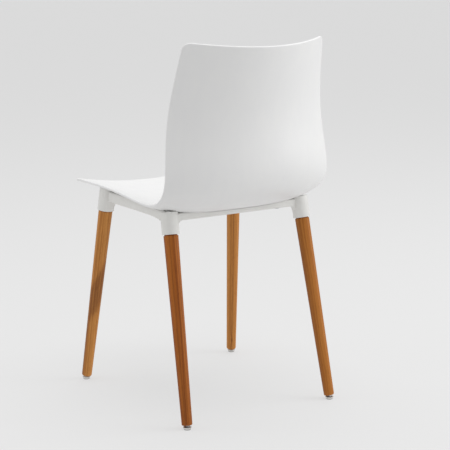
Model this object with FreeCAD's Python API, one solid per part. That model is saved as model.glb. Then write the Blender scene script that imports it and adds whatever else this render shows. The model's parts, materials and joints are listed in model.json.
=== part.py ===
import FreeCAD, Part
import math
import os

# Dining chair: a one-piece moulded shell on a four-socket under-frame, with four turned wooden
# legs that stand on self-levelling glides.
#
# +X is the sitter's left, -Y the front, +Z up. The origin is on the floor, under the middle of
# the chair. All sizes are in millimetres.

Vector = FreeCAD.Vector

# ---------------------------------------------------------------- overall sizes
overall_height = 813.0          # floor to the top corners of the back
overall_depth = 532.0           # front lip to the rearmost point of the back
seat_width = 410.0              # across the seat, half way along it
back_top_width = 349.0          # across the top of the back, before its corners are rounded
seat_front_height = 450.0       # floor to the underside of the front lip, at the middle

# ---------------------------------------------------------------- shell
shell_wall = 5.5
shell_rim_round = 2.0           # rounding along every edge of the shell
front_corner_radius = 22.0
back_corner_radius = 15.0
seat_dish = 13.0                # how far the middle of the seat lies below the front lip
seat_side_rise = 33.8           # how far the seat's side edges stand above its middle
back_wrap = 65.0                # how far the sides of the back reach forward of its middle
back_side_rise = 7.0            # how far the side edge stands above the middle on the same rib
back_top_dip = 11.4             # how far the middle of the top edge lies below its corners

# ---------------------------------------------------------------- legs
front_foot_inset = 2.6          # from the seat's side in to the front feet, at the leg ends
rear_foot_inset = 19.2
front_foot_setback = 42.4       # from the front lip back to the front feet
rear_foot_setback = 50.8        # from the rearmost point of the back forward to the rear feet
leg_end_height = 8.4            # floor to the middle of a leg's lower end
front_splay_side = 4.15         # lean of a leg, in degrees, seen from the front
front_splay_fore = 8.80         # and from the side
rear_splay_side = 2.35
rear_splay_aft = 12.00
front_bolt_air = 4.92           # from the middle of a front leg bolt's head up to the shell
rear_bolt_air = 5.00
leg_top_diameter = 31.9
leg_end_diameter = 23.0
leg_end_round = 3.4
leg_top_chamfer = 1.5
leg_groove_height = 2.4         # shadow groove round a leg, just below its socket's rim
leg_groove_depth = 2.0

# ---------------------------------------------------------------- under-frame
socket_wall = 2.8
socket_depth = 32.0             # how far a leg goes into its socket
socket_floor = 6.5              # solid web between the leg and the bolt head
front_socket_crown = 16.0       # rim round the bolt head, which the shell's underside trims
rear_socket_crown = 9.4         # and at the rear, where it stops just short of the shell
socket_crown_round = 1.4
leg_fit = 0.20                  # radial clearance of a leg in its socket
rail_width = 13.0
rail_edge_round = 2.5
side_rail_drop = 15.0           # from the front lip's height down to the side rails' underside
side_rail_height = 23.0
side_rail_sweep = 92.0          # length over which that underside curves down to the rear socket
side_rail_sag = 9.0
cross_rail_drop = 17.8          # the same for the front and rear rails
cross_rail_height = 16.0
cross_rail_gusset = 11.0        # radius where a cross rail runs into its sockets
shell_gap = 0.6                 # least air between the under-frame and the shell
pad_diameter = 30.0             # fixing pads, one beside each socket
pad_thickness = 6.0
pad_arm_width = 18.0
pad_inset = 77.0                # from the seat's side in to the pads
front_pad_setback = 132.0       # from the front lip back to the front pads
rear_pad_setback = 176.0        # from the rearmost point forward to the rear pads
front_pad_drop = 9.0            # from the front lip's height down to a pad's upper face
rear_pad_drop = 16.0

# ---------------------------------------------------------------- fasteners
leg_bolt_diameter = 8.0
leg_bolt_head_diameter = 13.0
leg_bolt_head_height = 4.6
leg_bolt_key = 5.0              # across the flats of the hexagon socket in the head
leg_bolt_key_depth = 2.6
leg_bolt_length = 32.0
leg_washer_diameter = 16.0
leg_washer_thickness = 1.6
leg_insert_diameter = 12.0
leg_insert_length = 22.0
leg_bolt_room = 4.0             # empty hole past the end of the bolt
bolt_clearance = 0.5            # radial clearance of a bolt or screw in a plain hole
head_clearance = 1.0            # radial clearance of a washer in its recess
thread_gap = 0.02               # radial gap that stands for each mated thread
shell_screw_diameter = 6.0
shell_screw_head_diameter = 12.0
shell_screw_head_height = 3.3
shell_screw_key = 4.0
shell_screw_key_depth = 1.8
shell_washer_diameter = 16.0
shell_washer_thickness = 1.2
shell_insert_diameter = 9.0
shell_insert_length = 7.5
insert_room = 0.5               # empty bore past the end of an insert
boss_diameter = 17.0
buffer_diameter = 22.0          # rubber buffers between the pads and the bosses
buffer_thickness = 2.6

# ---------------------------------------------------------------- glides
ball_diameter = 6.0
ball_height = 4.2               # floor to the centre of the ball
ball_fit = 0.05                 # radial clearance of the ball in its seat
ball_neck_diameter = 3.4
stud_collar_diameter = 10.0
stud_collar_thickness = 1.4
stud_thread_diameter = 6.0
stud_thread_length = 20.0
cap_top_diameter = 18.0
cap_base_diameter = 15.4
cap_height = 5.6                # floor to the top of the metal cap
cap_lift = 0.9                  # floor to its lower edge
cap_wall = 0.9
cap_edge_round = 0.4
pad_rim = 0.3                   # step of the nylon pad inside the cap's lower edge

front_y = -overall_depth / 2
rear_y = overall_depth / 2
half_seat = seat_width / 2
half_top = back_top_width / 2
pad_x = half_seat - pad_inset


# ---------------------------------------------------------------- small helpers
def cylinder(diameter, height, base_z=0.0):
    """A cylinder on the Z axis that starts at base_z."""
    return Part.makeCylinder(diameter / 2, height, Vector(0, 0, base_z))


def hexagon_prism(across_flats, height, base_z):
    """A hexagonal bar on the Z axis, used to cut key sockets."""
    corner = across_flats / math.sqrt(3)
    points = [Vector(corner * math.cos(math.radians(a)), corner * math.sin(math.radians(a)), base_z)
              for a in range(0, 361, 60)]
    return Part.Face(Part.makePolygon(points)).extrude(Vector(0, 0, height))


def turned(points):
    """Turn a closed outline of (radius, height) points about the Z axis."""
    outline = [Vector(radius, 0, height) for radius, height in points]
    face = Part.Face(Part.makePolygon(outline + outline[:1]))
    return face.revolve(Vector(0, 0, 0), Vector(0, 0, 1), 360)


def along(shape, start, direction):
    """Place a shape made on the Z axis at start, with its Z axis along direction."""
    placed = shape.copy()
    turn = FreeCAD.Rotation(Vector(0, 0, 1), direction)
    placed.Placement = FreeCAD.Placement(start, turn).multiply(placed.Placement)
    return placed


def rounded_edges(shape, radius, chosen):
    """Round the edges that the test picks out."""
    edges = [edge for edge in shape.Edges if chosen(edge)]
    return shape.makeFillet(radius, edges)


def mirrored(shape):
    """The same piece on the other side of the chair."""
    return shape.mirror(Vector(0, 0, 0), Vector(1, 0, 0))


def group(shapes):
    """Several separate solids in one node."""
    return Part.makeCompound(shapes)


def save(name, shape):
    """Write one node."""
    shape.exportStep("parts/" + name + ".step")
    print(name, len(shape.Solids), "solid(s), valid:", shape.isValid())


# ---------------------------------------------------------------- the shell's surface
# Nine ribs cross the shell, from the front lip to the top of the back. Each list below has one
# value per rib, and a smooth curve runs through them. The ribs are, in order: lip, thigh rest,
# front of the seat, rear of the seat, hollow, bend, foot of the back, small of the back, top.
back_rise = overall_height - seat_front_height
top_corner_share = ((half_top - back_corner_radius / 2) / half_top) ** 2
middle_y = [front_y + share * overall_depth
            for share in (0, 0.18, 0.38, 0.59, 0.778, 0.933, 0.963, 0.931, 1)]
middle_z = [seat_front_height - share * seat_dish for share in (0, 0.46, 0.70, 0.95, 1)]
middle_z += [seat_front_height + share * back_rise for share in (0.110, 0.286, 0.559)]
middle_z += [overall_height - back_top_dip]
half_widths = [half_seat + extra for extra in (-4.5, 0.2, 0.3, -0.2, 1.8, 4.2, 0, -10.8)]
half_widths += [half_top]
side_y = [y - share * back_wrap
          for y, share in zip(middle_y, (0, 0, 0, 0.10, 0.33, 0.83, 1.10, 1.09, 0.985))]
side_z = [z + share * seat_side_rise for z, share in zip(middle_z, (0.64, 0.91, 1, 0.75, 0.69))]
side_z += [z + share * back_side_rise for z, share in zip(middle_z[5:8], (1.2, 0.85, 1))]
side_z += [middle_z[-1] + back_top_dip / top_corner_share]
flatness = [0.15, 0.25, 0.45, 0.75, 0.75, 0.33, 0.10, 0, 0]


def smooth(values, place):
    """A smooth curve through evenly spaced control values; place runs from 0 to 1."""
    before = 2 * values[0] - values[1]
    after = 2 * values[-1] - values[-2]
    padded = [before] + values + [after]
    spot = place * (len(values) - 1)
    first = min(int(spot), len(values) - 2)
    u = spot - first
    weights = ((1 - u) ** 3, 3 * u ** 3 - 6 * u ** 2 + 4, -3 * u ** 3 + 3 * u ** 2 + 3 * u + 1, u ** 3)
    return sum(w * padded[first + i] for i, w in enumerate(weights)) / 6


def rib_point(place, across):
    """A point of the shell's outer face: place runs front to top, across runs -1 to 1."""
    flat = smooth(flatness, place)
    bow = (1 - flat) * across ** 2 + flat * across ** 4
    y = smooth(middle_y, place)
    z = smooth(middle_z, place)
    y += (smooth(side_y, place) - y) * bow
    z += (smooth(side_z, place) - z) * bow
    return Vector(smooth(half_widths, place) * across, y, z)


def inward(place, across):
    """The unit vector from the shell's outer face towards the sitter."""
    step = 0.002
    low, high = max(place - step, 0), min(place + step, 1)
    left, right = max(across - step, -1), min(across + step, 1)
    upward = rib_point(high, across) - rib_point(low, across)
    sideways = rib_point(place, right) - rib_point(place, left)
    return sideways.cross(upward).normalize()


rib_count = 49
across_count = 31


def shell_face(depth, last_place=1.0):
    """The shell's outer face, moved inwards by depth; it may stop short of the top."""
    rows = []
    for i in range(rib_count):
        place = last_place * i / (rib_count - 1)
        row = []
        for j in range(across_count):
            across = 2 * j / (across_count - 1) - 1
            row.append(rib_point(place, across) + inward(place, across) * depth)
        rows.append(row)
    surface = Part.BSplineSurface()
    surface.interpolate(rows)
    return surface.toShape()


def thick_shell():
    """The shell's wall as a solid with square edges and sharp corners."""
    outer = shell_face(0)
    inner = shell_face(shell_wall)
    sides = [Part.makeRuledSurface(a, b) for a, b in zip(outer.Edges, inner.Edges)]
    skin = Part.makeShell([outer, inner] + sides)
    skin.sewShape()
    solid = Part.makeSolid(skin)
    if solid.Volume < 0:
        solid.reverse()
    return solid


def above_shell(depth):
    """Everything above the seat's underside moved inwards by depth, to trim what lies below."""
    seat_share = 0.56
    return shell_face(depth, seat_share).extrude(Vector(0, 0, overall_height))


def is_corner(edge, at_front):
    """True for the short edges through the wall at the shell's front or top corners."""
    middle = edge.CenterOfMass
    at_lip = middle.z < seat_front_height + back_rise / 2 and middle.y < front_y / 2
    at_top = middle.z > overall_height - back_rise / 4
    return edge.Length < 2 * shell_wall and (at_lip if at_front else at_top)


def is_rim(edge):
    """True for the edges where a face of the shell meets its narrow border."""
    return edge.Length > 2 * shell_wall


def lowest(shape):
    """The lowest of the solids that a cut left."""
    return min(shape.Solids, key=lambda solid: solid.CenterOfMass.z)


def largest(shape):
    """The largest of the solids that a cut left."""
    return max(shape.Solids, key=lambda solid: solid.Volume)


def seat_shell():
    """The moulded shell: rounded corners and rims, and a boss over each fixing pad."""
    shell = thick_shell()
    shell = rounded_edges(shell, front_corner_radius, lambda edge: is_corner(edge, True))
    shell = rounded_edges(shell, back_corner_radius, lambda edge: is_corner(edge, False))
    shell = rounded_edges(shell, shell_rim_round, is_rim)
    above = above_shell(shell_wall / 2)
    for foot in boss_feet():
        boss = Part.makeCylinder(boss_diameter / 2, back_rise, foot)
        shell = shell.fuse(lowest(boss.cut(above)))
    bore_radius = shell_insert_diameter / 2 + thread_gap
    for foot in boss_feet():
        shell = shell.cut(Part.makeCylinder(bore_radius, shell_insert_length + insert_room, foot))
    return shell


# ---------------------------------------------------------------- places under the seat
# Heights inside a socket are counted from its rim, along the leg.
leg_socket_radius = leg_top_diameter / 2 + leg_fit
socket_radius = leg_socket_radius + socket_wall
web_top = socket_depth + socket_floor
head_seat = web_top + leg_washer_thickness
bolt_tip = head_seat - leg_bolt_length


def underside_at(x, y):
    """Height of the seat's underside over a point of the floor."""
    place, across = 0.4, x / half_seat
    for _ in range(40):
        miss = Vector(x, y, 0) - rib_point(place, across)
        place += miss.y / overall_depth / 2
        across += miss.x / half_seat
    return rib_point(place, across).z


def pad_tops():
    """The middle of each fixing pad's upper face."""
    front_z = seat_front_height - front_pad_drop
    rear_z = seat_front_height - rear_pad_drop
    return [Vector(side * pad_x, y, z)
            for y, z in ((front_y + front_pad_setback, front_z), (rear_y - rear_pad_setback, rear_z))
            for side in (1, -1)]


def boss_feet():
    """The middle of each boss's lower face, on top of its rubber buffer."""
    return [top + Vector(0, 0, buffer_thickness) for top in pad_tops()]


class Corner:
    """One leg's line: where it ends, where its socket starts and how it leans."""

    def __init__(self, name, side, front):
        self.name = name
        foot_x = half_seat - (front_foot_inset if front else rear_foot_inset)
        foot_y = front_y + front_foot_setback if front else rear_y - rear_foot_setback
        self.foot = Vector(side * foot_x, foot_y, leg_end_height)
        lean_side = front_splay_side if front else rear_splay_side
        lean_run = front_splay_fore if front else -rear_splay_aft
        inward_x = -side * math.tan(math.radians(lean_side))
        inward_y = math.tan(math.radians(lean_run))
        self.up = Vector(inward_x, inward_y, 1).normalize()
        self.crown = front_socket_crown if front else rear_socket_crown
        head = self.at_height(seat_front_height)
        bolt_air = front_bolt_air if front else rear_bolt_air
        head_rise = (head_seat + leg_bolt_head_height) * self.up.z
        rim_height = underside_at(head.x, head.y) - bolt_air - head_rise
        self.reach = (rim_height - leg_end_height) / self.up.z
        self.rim = self.foot + self.up * self.reach
        self.ball = self.foot + self.up * ((ball_height - leg_end_height) / self.up.z)

    def at_height(self, height):
        """The point of the leg's line at a height over the floor."""
        return self.foot + self.up * ((height - leg_end_height) / self.up.z)

    def from_foot(self, shape):
        """Place a shape made from the leg's lower end upwards."""
        return along(shape, self.foot, self.up)

    def from_rim(self, shape):
        """Place a shape made from the socket's rim upwards."""
        return along(shape, self.rim, self.up)


corners = [Corner("front_left", 1, True), Corner("front_right", -1, True),
           Corner("rear_left", 1, False), Corner("rear_right", -1, False)]


# ---------------------------------------------------------------- legs and their fasteners
def leg(corner):
    """A turned leg, tapered below its socket, bored at both ends."""
    top = corner.reach + socket_depth
    wood = turned([(0, 0), (leg_end_diameter / 2, 0), (leg_top_diameter / 2, corner.reach),
                   (leg_top_diameter / 2, top), (0, top)])
    lower_rim = [e for e in wood.Edges if e.BoundBox.ZMax < leg_end_round and e.Length > leg_end_diameter]
    wood = wood.makeFillet(leg_end_round, lower_rim)
    upper_rim = [e for e in wood.Edges if e.BoundBox.ZMin > top - leg_top_chamfer
                 and e.Length > leg_top_diameter]
    wood = wood.makeChamfer(leg_top_chamfer, upper_rim)
    groove_base = corner.reach - leg_groove_height
    groove_floor = leg_top_diameter - 2 * leg_groove_depth
    groove = cylinder(leg_top_diameter * 2, leg_groove_height, groove_base)
    wood = wood.cut(groove.cut(cylinder(groove_floor, leg_groove_height, groove_base)))
    insert_bore = leg_insert_diameter + 2 * thread_gap
    wood = wood.cut(cylinder(insert_bore, leg_insert_length, top - leg_insert_length))
    bolt_hole = leg_bolt_diameter + 2 * bolt_clearance
    hole_end = corner.reach + bolt_tip - leg_bolt_room
    wood = wood.cut(cylinder(bolt_hole, top - hole_end, hole_end))
    wood = wood.cut(cylinder(stud_thread_diameter + 2 * thread_gap, stud_thread_length + leg_bolt_room))
    wood = wood.cut(cylinder(stud_collar_diameter + 2 * bolt_clearance, stud_collar_thickness))
    return corner.from_foot(wood)


def leg_insert(corner):
    """The threaded steel sleeve in the top of a leg."""
    sleeve = cylinder(leg_insert_diameter, leg_insert_length)
    sleeve = sleeve.cut(cylinder(leg_bolt_diameter + 2 * thread_gap, leg_insert_length))
    return corner.from_rim(sleeve.translated(Vector(0, 0, socket_depth - leg_insert_length)))


def leg_washer(corner):
    """The washer under a leg bolt's head, on the web of the socket."""
    ring = cylinder(leg_washer_diameter, leg_washer_thickness, web_top)
    return corner.from_rim(ring.cut(cylinder(leg_bolt_diameter + 2 * bolt_clearance, web_top * 2)))


def leg_bolt(corner):
    """The bolt that draws a leg up into its socket."""
    shank = cylinder(leg_bolt_diameter, leg_bolt_length, bolt_tip)
    head = cylinder(leg_bolt_head_diameter, leg_bolt_head_height, head_seat)
    key = hexagon_prism(leg_bolt_key, leg_bolt_key_depth,
                        head_seat + leg_bolt_head_height - leg_bolt_key_depth)
    return corner.from_rim(shank.fuse(head).cut(key).removeSplitter())


# ---------------------------------------------------------------- under-frame
side_rail_z = seat_front_height - side_rail_drop
cross_rail_z = seat_front_height - cross_rail_drop


def socket_body(corner):
    """The outside of one socket."""
    length = web_top + corner.crown
    body = cylinder(2 * socket_radius, length)
    crown = [e for e in body.Edges if e.BoundBox.ZMin > length / 2 and e.Length > socket_radius]
    return corner.from_rim(body.makeFillet(socket_crown_round, crown))


def socket_hollow(corner):
    """What is cut out of one socket: the leg's bore, the bolt's hole and the head's recess."""
    bore = cylinder(2 * leg_socket_radius, socket_depth)
    hole = cylinder(leg_bolt_diameter + 2 * bolt_clearance, web_top)
    recess = cylinder(leg_washer_diameter + 2 * head_clearance, corner.crown * 2, web_top)
    return corner.from_rim(bore.fuse(hole).fuse(recess))


def side_rail_x():
    """How far the side rails run from the middle of the chair."""
    return (corners[0].at_height(side_rail_z).x + corners[2].at_height(side_rail_z).x) / 2


def side_rail():
    """The left rail: level below, then curving down to the rear socket."""
    front = corners[0].at_height(side_rail_z)
    rear = corners[2].at_height(side_rail_z)
    top_z = side_rail_z + side_rail_height
    low_z = side_rail_z - side_rail_sag
    sweep_y = rear.y - side_rail_sweep
    level = Part.LineSegment(Vector(0, front.y, side_rail_z), Vector(0, sweep_y, side_rail_z))
    sweep_radius = (side_rail_sweep ** 2 + side_rail_sag ** 2) / (2 * side_rail_sag)
    half_sweep = side_rail_sweep / 2
    half_drop = sweep_radius - math.sqrt(sweep_radius ** 2 - half_sweep ** 2)
    curve = Part.Arc(Vector(0, sweep_y, side_rail_z),
                     Vector(0, sweep_y + half_sweep, side_rail_z - half_drop),
                     Vector(0, rear.y, low_z))
    back = Part.LineSegment(Vector(0, rear.y, low_z), Vector(0, rear.y, top_z))
    top = Part.LineSegment(Vector(0, rear.y, top_z), Vector(0, front.y, top_z))
    end = Part.LineSegment(Vector(0, front.y, top_z), Vector(0, front.y, side_rail_z))
    face = Part.Face(Part.Wire([line.toShape() for line in (level, curve, back, top, end)]))
    rail = face.extrude(Vector(rail_width, 0, 0))
    rail = rounded_edges(rail, rail_edge_round, lambda e: e.Length > half_sweep)
    return rail.translated(Vector(side_rail_x() - rail_width / 2, 0, 0))


def cross_rail(corner):
    """The front or rear rail, with a gusset where it meets each socket."""
    end = corner.at_height(cross_rail_z)
    half = end.x
    top_z = cross_rail_z + cross_rail_height
    face_x = half - socket_radius
    bow = cross_rail_gusset
    diagonal = bow * (1 - math.sqrt(0.5))
    low_z = cross_rail_z - bow
    lines = []
    for side in (1, -1):
        lines += [Part.LineSegment(Vector(side * half, 0, top_z), Vector(side * half, 0, low_z)),
                  Part.LineSegment(Vector(side * half, 0, low_z), Vector(side * face_x, 0, low_z)),
                  Part.Arc(Vector(side * face_x, 0, low_z),
                           Vector(side * (face_x - diagonal), 0, low_z + bow - diagonal),
                           Vector(side * (face_x - bow), 0, cross_rail_z))]
    lines += [Part.LineSegment(Vector(bow - face_x, 0, cross_rail_z), Vector(face_x - bow, 0, cross_rail_z)),
              Part.LineSegment(Vector(-half, 0, top_z), Vector(half, 0, top_z))]
    outline = Part.Wire(Part.__sortEdges__([line.toShape() for line in lines]))
    rail = Part.Face(outline).extrude(Vector(0, rail_width, 0))
    rail = rounded_edges(rail, rail_edge_round, lambda e: e.Length > half)
    return rail.translated(Vector(0, end.y - rail_width / 2, 0))


def fixing_pad(top):
    """A round pad and the arm that joins it to its side rail."""
    base = top - Vector(0, 0, pad_thickness)
    disc = Part.makeCylinder(pad_diameter / 2, pad_thickness, base)
    arm = Part.makeBox(side_rail_x() - pad_x, pad_arm_width, pad_thickness,
                       Vector(pad_x, base.y - pad_arm_width / 2, base.z))
    if top.x < 0:
        arm = mirrored(arm)
    return disc.fuse(arm)


def seat_frame():
    """The one-piece under-frame: four sockets, four rails and four fixing pads."""
    left = side_rail()
    pieces = [socket_body(corner) for corner in corners]
    pieces += [left, mirrored(left), cross_rail(corners[0]), cross_rail(corners[2])]
    pieces += [fixing_pad(top) for top in pad_tops()]
    frame = pieces[0].fuse(pieces[1:])
    for corner in corners:
        frame = frame.cut(socket_hollow(corner))
    screw_hole = shell_screw_diameter / 2 + bolt_clearance
    for top in pad_tops():
        base = top - Vector(0, 0, pad_thickness)
        frame = frame.cut(Part.makeCylinder(screw_hole, pad_thickness, base))
    return largest(frame.cut(above_shell(-shell_gap))).removeSplitter()


# ---------------------------------------------------------------- what holds the shell down
def shell_fixings():
    """The inserts, buffers, washers and screws at the four pads."""
    inserts, buffers, washers, screws = [], [], [], []
    radius = shell_screw_diameter / 2
    for top in pad_tops():
        under = top - Vector(0, 0, pad_thickness)
        foot = top + Vector(0, 0, buffer_thickness)
        sleeve = Part.makeCylinder(shell_insert_diameter / 2, shell_insert_length, foot)
        inserts.append(sleeve.cut(Part.makeCylinder(radius + thread_gap, shell_insert_length, foot)))
        ring = Part.makeCylinder(buffer_diameter / 2, buffer_thickness, top)
        buffers.append(ring.cut(Part.makeCylinder(radius + bolt_clearance, buffer_thickness, top)))
        seat = under - Vector(0, 0, shell_washer_thickness)
        ring = Part.makeCylinder(shell_washer_diameter / 2, shell_washer_thickness, seat)
        washers.append(ring.cut(Part.makeCylinder(radius + bolt_clearance, shell_washer_thickness, seat)))
        shank_length = shell_washer_thickness + pad_thickness + buffer_thickness + shell_insert_length
        shank = Part.makeCylinder(radius, shank_length - insert_room, seat)
        head_base = seat - Vector(0, 0, shell_screw_head_height)
        head = Part.makeCylinder(shell_screw_head_diameter / 2, shell_screw_head_height, head_base)
        key = hexagon_prism(shell_screw_key, shell_screw_key_depth, 0).translated(head_base)
        screws.append(shank.fuse(head).cut(key).removeSplitter())
    return inserts, buffers, washers, screws


# ---------------------------------------------------------------- glides
def glide_stud(corner):
    """The ball-headed screw in the end of a leg."""
    screw = cylinder(stud_thread_diameter, stud_thread_length)
    collar = cylinder(stud_collar_diameter, stud_collar_thickness)
    drop = (leg_end_height - ball_height) / corner.up.z
    neck = cylinder(ball_neck_diameter, drop, -drop)
    ball = Part.makeSphere(ball_diameter / 2, Vector(0, 0, -drop))
    return corner.from_foot(screw.fuse([collar, neck, ball]).removeSplitter())


def glide_blank(inset, low_z, high_z):
    """A cone inside the metal cap's outer slope, moved in by inset."""
    slope = (cap_top_diameter - cap_base_diameter) / 2 / (cap_height - cap_lift)
    low_radius = cap_base_diameter / 2 + slope * (low_z - cap_lift) - inset
    high_radius = cap_base_diameter / 2 + slope * (high_z - cap_lift) - inset
    return Part.makeCone(low_radius, high_radius, high_z - low_z, Vector(0, 0, low_z))


def glide_cap(corner):
    """The metal cup that grips the ball from above."""
    cup = glide_blank(0, cap_lift, cap_height)
    cup = rounded_edges(cup, cap_edge_round, lambda e: e.Length > cap_base_diameter * 2)
    cup = cup.cut(glide_blank(cap_wall, cap_lift, cap_height - cap_wall))
    seat = Part.makeSphere(ball_diameter / 2 + ball_fit, Vector(0, 0, ball_height))
    return cup.cut(seat).translated(Vector(corner.ball.x, corner.ball.y, 0))


def glide_pad(corner):
    """The nylon pad on the floor, which fills the cup and carries the ball."""
    plug = glide_blank(cap_wall, cap_lift, cap_height - cap_wall)
    sole = Part.makeCylinder(cap_base_diameter / 2 - pad_rim, cap_lift)
    seat = Part.makeSphere(ball_diameter / 2 + ball_fit, Vector(0, 0, ball_height))
    pad = plug.fuse(sole).cut(seat)
    return pad.translated(Vector(corner.ball.x, corner.ball.y, 0))


def main():
    """Build every node and write it."""
    os.makedirs("parts", exist_ok=True)
    inserts, buffers, washers, screws = shell_fixings()
    save("seat_shell", seat_shell())
    save("seat_frame", seat_frame())
    save("shell_inserts", group(inserts))
    save("shell_buffers", group(buffers))
    save("shell_washers", group(washers))
    save("shell_screws", group(screws))
    save("leg_inserts", group([leg_insert(corner) for corner in corners]))
    save("leg_washers", group([leg_washer(corner) for corner in corners]))
    save("leg_bolts", group([leg_bolt(corner) for corner in corners]))
    for corner in corners:
        save("leg_" + corner.name, leg(corner))
        save("glide_stud_" + corner.name, glide_stud(corner))
        save("glide_cap_" + corner.name, glide_cap(corner))
        save("glide_pad_" + corner.name, glide_pad(corner))


main()
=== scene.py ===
import json
import logging
import math
from bisect import bisect_right
from dataclasses import dataclass, field
from enum import Enum

import bmesh
import bpy
from mathutils import Matrix, Vector


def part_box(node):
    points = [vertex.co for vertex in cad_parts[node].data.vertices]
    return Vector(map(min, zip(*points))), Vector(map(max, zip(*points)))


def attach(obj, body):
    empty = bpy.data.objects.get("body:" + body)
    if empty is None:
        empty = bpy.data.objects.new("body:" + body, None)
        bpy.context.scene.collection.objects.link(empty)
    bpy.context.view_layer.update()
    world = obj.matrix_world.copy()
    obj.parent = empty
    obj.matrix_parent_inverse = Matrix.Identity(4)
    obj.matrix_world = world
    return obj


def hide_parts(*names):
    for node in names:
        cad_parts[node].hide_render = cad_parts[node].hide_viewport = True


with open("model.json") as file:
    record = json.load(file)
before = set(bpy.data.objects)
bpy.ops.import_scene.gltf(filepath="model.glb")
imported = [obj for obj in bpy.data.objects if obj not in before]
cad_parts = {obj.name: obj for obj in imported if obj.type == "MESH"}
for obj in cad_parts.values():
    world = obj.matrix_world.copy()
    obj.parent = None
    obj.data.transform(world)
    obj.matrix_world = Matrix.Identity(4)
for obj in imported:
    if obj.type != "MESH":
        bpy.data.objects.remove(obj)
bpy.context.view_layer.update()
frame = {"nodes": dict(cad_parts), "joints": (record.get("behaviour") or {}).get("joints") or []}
log = logging.getLogger("dining_chair")

CHAIR = "chair"
Z_AXIS = Vector((0, 0, 1))
SHOW_FACE = (-0.848, 0.530)     # the way across each leg's show face, in its own x and y
Colour = tuple[float, float, float]
Point2 = tuple[float, float]

# how far the figure of the wood strays, in metres: along sloping and upright planes, and streaks
SLOPING_WANDER = 0.060
UPRIGHT_WANDER = 0.004
STREAK_WANDER = 0.0022


class Side(Enum):
    """Which side of the sitter a leg stands on, as the sign of its x."""

    LEFT = 1
    RIGHT = -1


class End(Enum):
    """Which end of the chair a leg stands at."""

    FRONT = "front"
    REAR = "rear"


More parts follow.
